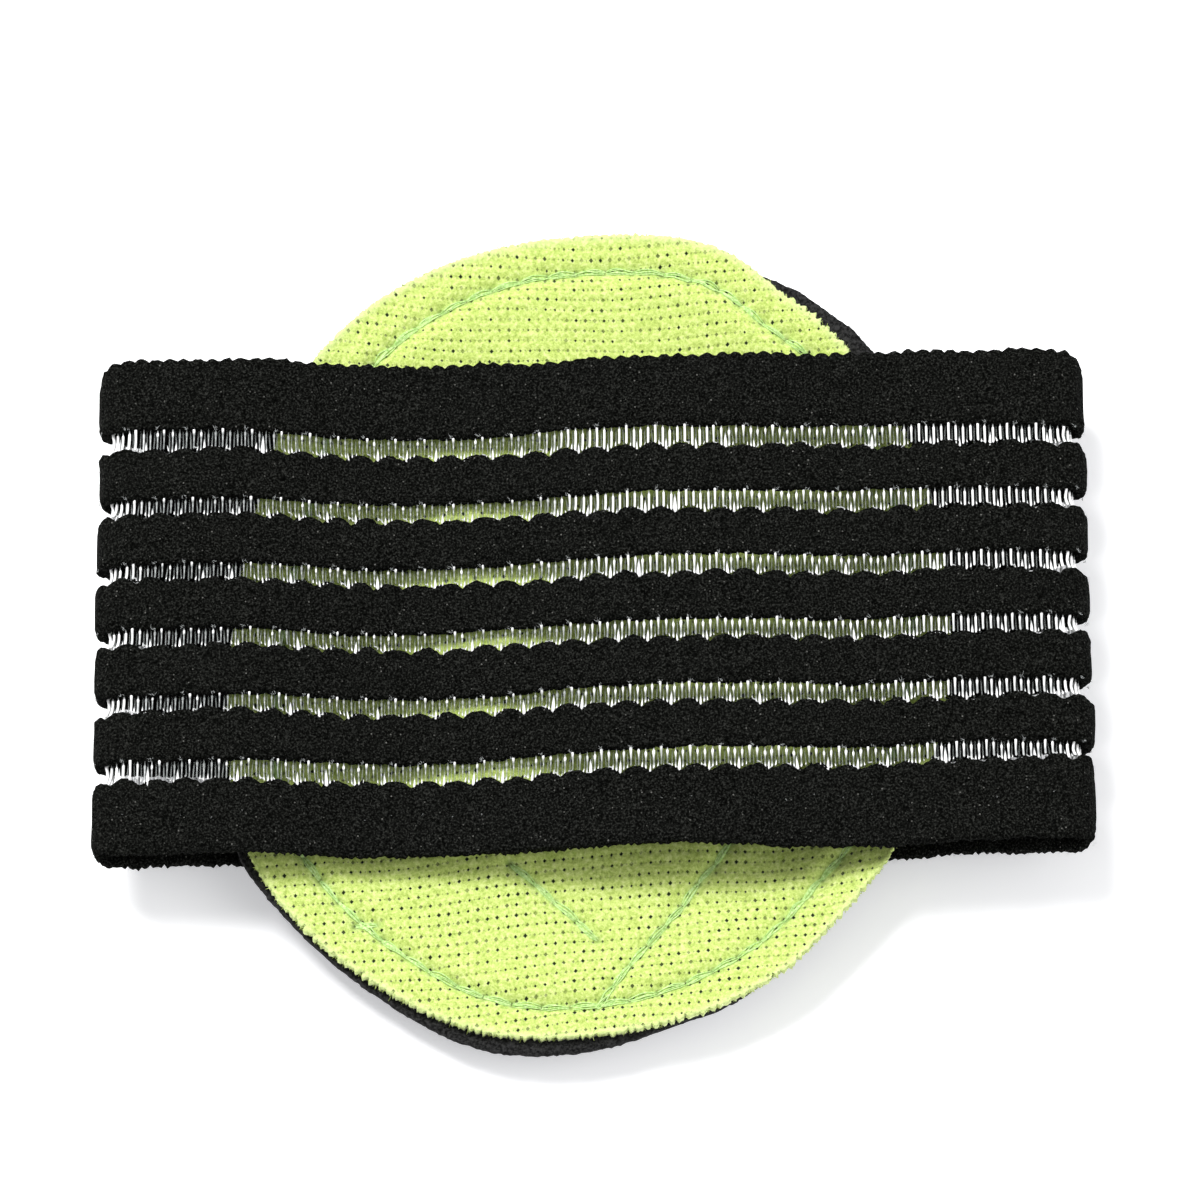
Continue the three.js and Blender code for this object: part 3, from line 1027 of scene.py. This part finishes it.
class PadLayer:
    """Outline of one layer of the pad and height of its rim, read off its CAD node."""

    def __init__(self, name):
        points = node_points(name)
        turns, distances = pad_polar(points[:, 0], points[:, 1])
        self.base = points[:, 2].min()
        self.bulges = RIM_BULGES[name]
        edges = {}
        for turn in np.unique(np.round(turns, 3)):
            spoke = np.where(np.abs(turns - turn) < 0.002)[0]
            reach = distances[spoke].max()
            if reach > 30 * MM:
                rim = spoke[distances[spoke] > reach - 0.01 * MM]
                lift = points[rim, 2].min() - self.base - ground_lift(points[rim[0], 0])
                edges[turn] = (reach, lift)
        self.turns = np.array(list(edges))
        self.reaches = np.array([edge[0] for edge in edges.values()])
        self.lifts = np.array([edge[1] for edge in edges.values()])

    def around(self, values, angle):
        before = self.turns[-3:] - 2 * math.pi
        after = self.turns[:3] + 2 * math.pi
        turns = np.concatenate([before, self.turns, after])
        return np.interp(angle, turns, np.concatenate([values[-3:], values, values[:3]]))

    def reach(self, angle):
        out = 0
        for bulge in self.bulges:
            off = (np.degrees(angle) - bulge["at"]) / bulge["width"]
            out = out + bulge["reach"] * np.exp(-off ** 2 / 2)
        return self.around(self.reaches, angle) + out * MM


def curl_share(share):
    """How much of its curl the pad has at a share of its radius."""
    return (np.clip(share - FLAT_SHARE, 0, None) / (1 - FLAT_SHARE)) ** CURL_POWER


cover = PadLayer("pad_cover")
backing = PadLayer("pad_backing")


def underside(layer, x, y):
    """Height of a layer's underside, which curls up at the rim as the whole pad does."""
    angle, distance = pad_polar(x, y)
    cover_reach = cover.reach(angle)
    backing_reach = backing.reach(angle)
    cover_lift = cover.around(cover.lifts, angle)
    backing_lift = backing.around(backing.lifts, angle)
    lift = np.where(cover_reach >= backing_reach, cover_lift, backing_lift)
    share = distance / np.maximum(cover_reach, backing_reach)
    return layer.base + ground_lift(x) + lift * curl_share(share)


# Seams inside the pad's rim, in millimetres from the middle of the pad
SEAMS = {
    "inner_right": [
        (13.3, -21.3), (11.7, -23.7), (9.9, -25.8), (8.3, -28.2),
        (5.5, -31.5), (3.1, -34.4), (0.8, -37.5), (-0.4, -38.9),
    ],
    "inner_left": [
        (-8.6, -23.4), (-6.2, -25.5), (-3.8, -27.9), (-2.1, -29.4), (-1.2, -30.5), (0.1, -31.6),
    ],
    "stub": [(-24.0, -30.0), (-21.8, -29.9)],
}

# How far the rim's seam lies inside the cover's edge, in millimetres
SEAM_INSETS = {
    "degrees": [0, 45, 60, 75, 90, 105, 120, 135, 180, 225, 250, 270, 285, 300, 315],
    "inset": [3.8, 3.2, 3.5, 3.9, 3.6, 3.8, 4.6, 5.0, 5.0, 4.7, 3.8, 3.1, 3.8, 4.3, 4.2],
}


def rim_seam():
    """The seam that runs round the pad inside the cover's rim."""
    turn = np.linspace(-math.pi, math.pi, 721)[:-1]
    degrees = np.degrees(turn)
    inset = np.interp(degrees, SEAM_INSETS["degrees"], SEAM_INSETS["inset"], period=360) * MM
    reach = cover.reach(turn) - smooth_ring(inset, 12)
    return np.stack([PAD_X + reach * np.cos(turn), PAD_Y + reach * np.sin(turn)], axis=1)


def seam_line(points):
    """A line of evenly spaced points through a seam's chosen points."""
    points = np.array(points, dtype=float)
    length = distances_along(points)[-1]
    return points_along(points, np.arange(0, length, SEAM_SPACING)).T


def all_seams():
    rim = rim_seam()
    lines = {"rim": seam_line(np.vstack([rim, rim[:1]]))}
    for name, points in SEAMS.items():
        shifted = np.array(points) * MM + np.array([PAD_X, PAD_Y])
        lines[name] = seam_line(shifted)
    return lines


seams = all_seams()


def seam_field(x, y, batch=20000):
    """How far the seams draw the cover down at each point, how close the nearest one is, and how
    close the nearest end of a stitch."""
    dip = np.zeros(len(x))
    close = np.zeros(len(x))
    ends = np.zeros(len(x))
    for name, line in seams.items():
        depth = RIM_SEAM_DEPTH if name == "rim" else INNER_SEAM_DEPTH
        stitches = max(1, round(len(line) * SEAM_SPACING / STITCH_LENGTH))
        for start in range(0, len(x), batch):
            part = slice(start, start + batch)
            gap = np.hypot(x[part, None] - line[None, :, 0], y[part, None] - line[None, :, 1])
            phase = gap.argmin(axis=1) / len(line) * stitches
            gap = gap.min(axis=1)
            off_end = np.abs((phase + 0.5) % 1 - 0.5) * STITCH_LENGTH
            pucker = 0.8 + 0.2 * np.cos(2 * math.pi * phase)
            drawn = depth * pucker * bell(gap, PUCKER_WIDTH)
            hole = bell(np.hypot(gap, off_end), STITCH_HOLE_SIZE)
            dip[part] = np.maximum(dip[part], drawn)
            close[part] = np.maximum(close[part], bell(gap, SEAM_TINT_WIDTH))
            ends[part] = np.maximum(ends[part], hole)
    return dip, close, ends


def in_front_lobe(y):
    return smoothstep(-y, 22 * MM, 30 * MM)


def in_back_lobe(y):
    return smoothstep(y, 24 * MM, 32 * MM)


def filling_rise(x, y):
    """How far the soft filling lifts the cover under the band, where the upper ply sags onto it."""
    along = smoothstep(x, -25 * MM, -8 * MM) * (1 - smoothstep(x, -4 * MM, 6 * MM))
    across = smoothstep(y, -26 * MM, -14 * MM) * (1 - smoothstep(y, 15 * MM, 27 * MM))
    return FILLING_RISE * along * across


def cover_top(x, y):
    """The cover's upper face without its seams, and its underside."""
    under = underside(cover, x, y)
    angle, distance = pad_polar(x, y)
    inside = smoothstep(cover.reach(angle) - distance, 0, COVER_RIM_WIDTH)
    thickness = COVER_RIM_THICKNESS + (COVER_THICKNESS - COVER_RIM_THICKNESS) * inside
    return under + thickness + filling_rise(x, y), under


def knit_place(x, y):
    """Place on the mesh knit, in columns and rows. The rows climb to the right in the front lobe's
    left half and bow a little in the back lobe."""
    beside = x - 3 * MM
    front = FRONT_ROWS_CLIMB * (beside - np.hypot(beside, 5 * MM))
    back = BACK_ROWS_BOW * np.hypot(x, 10 * MM)
    rise = front + (back - front) * smoothstep(y, -15 * MM, 15 * MM)
    slow_sway = 0.12 * np.sin(x / (3.1 * MM) + y / (5.3 * MM))
    quick_sway = 0.10 * np.sin(y / (2.9 * MM) - x / (7 * MM))
    sway = slow_sway + quick_sway
    return x / EYELET_PITCH + 0.5 * sway, (y - rise) / EYELET_ROW + sway


def rim_teeth(turn, x, y):
    """How far the cut knit stands out at a point of the rim: fine all round, and in whole wales at
    the back right and in the front lobe."""
    degrees = math.degrees(turn)
    wave = math.sin(290 * turn + 4 * math.sin(17 * turn))
    fine = FINE_TEETH_MM * wave + rng.normal(0, FINE_TEETH_MM)
    back_wales = BACK_WALES_MM * (0.5 - y / TOOTH_PITCH % 1)
    back_right = smoothstep(degrees, 12, 22) * (1 - smoothstep(degrees, 58, 66))
    front_wales = FRONT_WALES_MM * (0.5 - x / TOOTH_PITCH % 1) + rng.normal(0, FRONT_FRAY_MM)
    return float(fine + back_right * back_wales + in_front_lobe(y) * front_wales) * MM


def cover_sheet():
    """A grid of a few cells to each eyelet, trimmed to the cover's outline and made a thick slab:
    its underside lies at 0 and its upper face at 1."""
    low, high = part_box("pad_cover")
    cell_x = EYELET_PITCH / CELLS_PER_EYELET
    cell_y = EYELET_ROW / CELLS_PER_EYELET
    half_x = math.ceil(max(PAD_X - low[0], high[0] - PAD_X) / cell_x) + 2
    half_y = math.ceil(max(high[1] - PAD_Y, PAD_Y - low[1]) / cell_y) + 2
    bm = bmesh.new()
    bmesh.ops.create_grid(bm, x_segments=2 * half_x, y_segments=2 * half_y, size=0.5)
    bmesh.ops.scale(bm, verts=bm.verts, vec=(2 * half_x * cell_x, 2 * half_y * cell_y, 1))
    bmesh.ops.translate(bm, verts=bm.verts, vec=(PAD_X, PAD_Y, 0))
    middles = np.array([face.calc_center_median()[:2] for face in bm.faces])
    angle, distance = pad_polar(middles[:, 0], middles[:, 1])
    outside = distance > cover.reach(angle)
    trimmed = [face for face, out in zip(bm.faces[:], outside) if out]
    bmesh.ops.delete(bm, geom=trimmed, context="FACES")
    for vertex in [vertex for vertex in bm.verts if vertex.is_boundary]:
        turn = math.atan2(vertex.co.y - PAD_Y, vertex.co.x - PAD_X)
        reach = float(cover.reach(turn)) + rim_teeth(turn, vertex.co.x, vertex.co.y)
        vertex.co.x = PAD_X + reach * math.cos(turn)
        vertex.co.y = PAD_Y + reach * math.sin(turn)
    raised = bmesh.ops.extrude_face_region(bm, geom=bm.faces[:], use_keep_orig=True)["geom"]
    upper = [part for part in raised if isinstance(part, bmesh.types.BMVert)]
    bmesh.ops.translate(bm, verts=upper, vec=(0, 0, 1))
    bmesh.ops.recalc_face_normals(bm, faces=bm.faces)
    return finished_mesh("pad_cover_mesh", bm)


def mesh_cover(material):
    """The lime mesh knit, pitted with eyelets and sewn down."""
    mesh = cover_sheet()
    points = mesh_points(mesh)
    upper = points[:, 2] > 0.5
    x, y = points[:, 0], points[:, 1]
    top, under = cover_top(x, y)
    dip, close, ends = seam_field(x, y)
    columns, rows = knit_place(x - PAD_X, y - PAD_Y)
    wave = -np.cos(2 * math.pi * columns) - np.cos(2 * math.pi * rows)
    pits = np.clip(wave, 0, None) / 2 * EYELET_DEPTH
    lumps = rng.normal(0, COVER_LUMPS, len(x))
    points[:, 2] = np.where(upper, top - dip + lumps - pits, under)
    place_vertices(mesh, points)
    set_attribute(mesh, "knit_columns", columns)
    set_attribute(mesh, "knit_rows", rows)
    set_attribute(mesh, "seam", np.where(upper, close, 0))
    set_attribute(mesh, "stitch_hole", np.where(upper, ends, 0))
    angle, distance = pad_polar(x, y)
    inset = cover.reach(angle) - distance
    set_attribute(mesh, "inside_rim", upper * smoothstep(inset, 0.1 * MM, 0.45 * MM))
    # Painted light on the rim: paler all round the front lobe's edge, its side wall too, and on the
    # back lobe's upper edge.
    rim_light_share = 0.5 * upper * in_back_lobe(y) + 0.45 * in_front_lobe(y)
    set_attribute(mesh, "rim_painted_light", rim_light_share * bell(inset, 0.55 * MM))
    piece = add_piece("pad_cover_mesh", mesh, material)
    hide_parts("pad_cover")


def pad_backing(material):
    """The black backing: a thin layer under the cover, closed round its cut edge."""
    bands = 2 * BACKING_RINGS + 2
    mesh, u, v = unit_grid("pad_backing_layer", BACKING_SPOKES, bands)
    step = v * bands
    place = np.minimum(np.minimum(step, BACKING_RINGS), bands - step) / BACKING_RINGS
    onto = np.clip((step - BACKING_RINGS) / 2, 0, 1)
    turn = u * 2 * math.pi - math.pi
    turn = np.where(turn > math.pi - 1e-6, -math.pi, turn)
    rough = smooth_ring(rng.standard_normal(BACKING_SPOKES), 0.35)
    spoke = np.round((turn + math.pi) / (2 * math.pi) * BACKING_SPOKES).astype(int)
    rough = rough[spoke % BACKING_SPOKES] / rough.std()
    frayed = BACKING_FRAY * rough * (place > 0.99)
    bulge = BACKING_BULGE * np.sin(onto * math.pi)
    reach = backing.reach(turn) * place + frayed + bulge
    x = PAD_X + reach * np.cos(turn)
    y = PAD_Y + reach * np.sin(turn)
    thickness = cover.base - backing.base - BACKING_CLEARANCE
    under = underside(backing, x, y)
    place_vertices(mesh, np.stack([x, y, under + onto * thickness], axis=1))
    close_seams(mesh)
    piece = add_piece("pad_backing_layer", mesh, material)
    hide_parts("pad_backing")


def seam_stitches(material):
    """Thread lying on the cover along each seam: strands side by side, drawn in at each hole."""
    points, faces, ring = tube_template(9, 5)
    share = ring / 8
    bow = np.sin(math.pi * share)
    placed = []
    for line in seams.values():
        length = distances_along(line)[-1]
        stitches = max(1, round(length / STITCH_LENGTH))
        for stitch, strand in itertools.product(range(stitches), STRANDS):
            spot = (stitch + share * rng.uniform(0.97, 1.06)) / stitches * length
            x, y = points_along(line, spot)
            ahead = points_along(line, spot + 0.3 * MM) - points_along(line, spot - 0.3 * MM)
            ahead /= np.hypot(*ahead) + 1e-9
            radius = STRAND_RADIUS * (0.75 + 0.25 * bow) * rng.uniform(0.8, 1.2)
            wander = rng.normal(0, 0.05) * MM
            wander = wander + rng.normal(0, 0.07) * MM * np.sin(2 * math.pi * share)
            beside = strand * STRAND_PITCH * (0.4 + 0.6 * bow) + wander + radius * points[:, 0]
            lift = rng.uniform(0.05, 0.14) * MM * bow ** 0.6 - 0.03 * MM
            lift = lift + radius * points[:, 1]
            placed.append((x - ahead[1] * beside, y + ahead[0] * beside, lift))
    x, y, lift = (np.concatenate([entry[axis] for entry in placed]) for axis in range(3))
    top, _ = cover_top(x, y)
    dip, _, _ = seam_field(x, y)
    mesh = joined_copies("seam_thread", faces, len(placed), len(points))
    place_vertices(mesh, np.stack([x, y, top - dip + lift], axis=1))
    close_seams(mesh, FINE_GAP)
    add_piece("seam_thread", mesh, material)


def fibres(name, roots, directions, lengths, radius, material):
    """Short curved fibres, each a three-sided tapering tube from its root."""
    points, faces, ring = tube_template(4, 3)
    share = ring / 3
    count = len(roots)
    directions = directions / np.linalg.norm(directions, axis=1, keepdims=True)
    bend = rng.normal(0, 0.6, (count, 3))
    side = np.cross(directions, rng.standard_normal((count, 3)))
    side /= np.linalg.norm(side, axis=1, keepdims=True)
    other = np.cross(directions, side)
    taper = radius * (1 - 0.75 * share)
    line = directions[:, None, :] * share[None, :, None]
    line = line + bend[:, None, :] * (share ** 2)[None, :, None] * 0.5
    spots = roots[:, None, :] + line * lengths[:, None, None]
    spots += side[:, None, :] * (taper * points[:, 0])[None, :, None]
    spots += other[:, None, :] * (taper * points[:, 1])[None, :, None]
    mesh = joined_copies(name, faces, count, len(points))
    place_vertices(mesh, spots.reshape(-1, 3))
    close_seams(mesh, FINEST_GAP)
    return add_piece(name, mesh, material)


def rib_fuzz(material):
    """Fine hairs that stand out of the knit ribs' edges and folds."""
    roots = []
    ways = []
    count = HAIRS_PER_RIB
    for name in RIBS:
        share = rng.random(count)
        x = around_loop(PATH_X, share)
        at_back = rng.random(count) < 0.5
        outward = np.where(at_back, 1.0, -1.0)
        edge = np.where(at_back, back_edge(name, x), front_edge(name, x))
        spread = rng.random(count) ** 2 * 2.0 * MM
        out = (rng.random(count) * 0.5 + 0.5) * RIB_HALF_THICKNESS
        roots.append(on_band(share, edge - outward * spread, out))
        none = np.zeros(count)
        normal = np.stack([around_loop(OUT_X, share), none, around_loop(OUT_Z, share)], axis=1)
        across = np.stack([none, outward, none], axis=1)
        ways.append(normal + across * rng.random((count, 1)) + rng.normal(0, 0.5, (count, 3)))
    roots = np.concatenate(roots)
    roots[:, 2] = np.maximum(roots[:, 2], LOWEST_HAIR)
    ways = np.concatenate(ways)
    lengths = rng.uniform(0.12, 0.34, len(roots)) * MM
    fibres("rib_fuzz", roots, ways, lengths, HAIR_RADIUS, material)


def cover_fuzz(material):
    """Cut yarn ends that stand out of the cover's rim."""
    count = RIM_ENDS
    turn = rng.uniform(-math.pi, math.pi, count)
    reach = cover.reach(turn) - rng.random(count) ** 2 * 0.9 * MM
    x = PAD_X + reach * np.cos(turn)
    y = PAD_Y + reach * np.sin(turn)
    top, under = cover_top(x, y)
    z = under + (top - under) * rng.uniform(0.2, 1.0, count)
    roots = np.stack([x, y, z], axis=1)
    ways = np.stack([np.cos(turn), np.sin(turn), rng.normal(0.1, 0.5, count)], axis=1)
    ways += rng.normal(0, 0.45, (count, 3))
    lengths = rng.uniform(0.12, 0.36, count) * MM
    fibres("cover_fuzz", roots, ways, lengths, RIM_END_RADIUS, material)


def lay_floor():
    bm = bmesh.new()
    bmesh.ops.create_grid(bm, x_segments=1, y_segments=1, size=FLOOR_HALF_WIDTH)
    mesh = finished_mesh("floor", bm)
    shader = Shader("pale_floor", Roughness=0.9)
    shader.principled.inputs["Base Color"].default_value = (0.93, 0.93, 0.935, 1)
    shader.principled.inputs["Specular IOR Level"].default_value = 0.1
    shader.principled.inputs["Emission Color"].default_value = (0.96, 0.97, 1.0, 1)
    shader.principled.inputs["Emission Strength"].default_value = 0.36
    mesh.materials.append(shader.material)
    floor = bpy.data.objects.new("floor", mesh)
    bpy.context.scene.collection.objects.link(floor)


def add_area_light(name, place, size, power):
    data = bpy.data.lights.new(name, "AREA")
    data.shape = "SQUARE"
    data.size = size
    data.energy = power
    light = bpy.data.objects.new(name, data)
    light.location = place
    light.rotation_euler = (AIM - Vector(place)).to_track_quat("-Z", "Y").to_euler()
    bpy.context.scene.collection.objects.link(light)


def light_studio():
    add_area_light("key_light", place=(-0.40, 0.50, 1.05), size=0.5, power=18.5)
    add_area_light("right_fill", place=(0.9, -0.3, 0.8), size=0.9, power=4.5)
    world = bpy.data.worlds.new("studio")
    world.use_nodes = True
    background = world.node_tree.nodes["Background"]
    background.inputs["Color"].default_value = (1, 1, 1, 1)
    background.inputs["Strength"].default_value = 0.53
    bpy.context.scene.world = world
    bpy.context.scene.view_settings.view_transform = "Standard"


black_knit = black_knit_material()
clear_yarn = clear_yarn_material()
lime_mesh = lime_mesh_material()
lime_thread = lime_thread_material()
black_backing = black_backing_material()

for rib in RIBS:
    knit_rib(rib, black_knit)
for strip in range(1, len(RIBS)):
    sheer_strip(strip, clear_yarn)
pad_backing(black_backing)
mesh_cover(lime_mesh)
seam_stitches(lime_thread)
head_wisps(clear_yarn)
rib_fuzz(black_knit)
cover_fuzz(lime_mesh)
lay_floor()
light_studio()
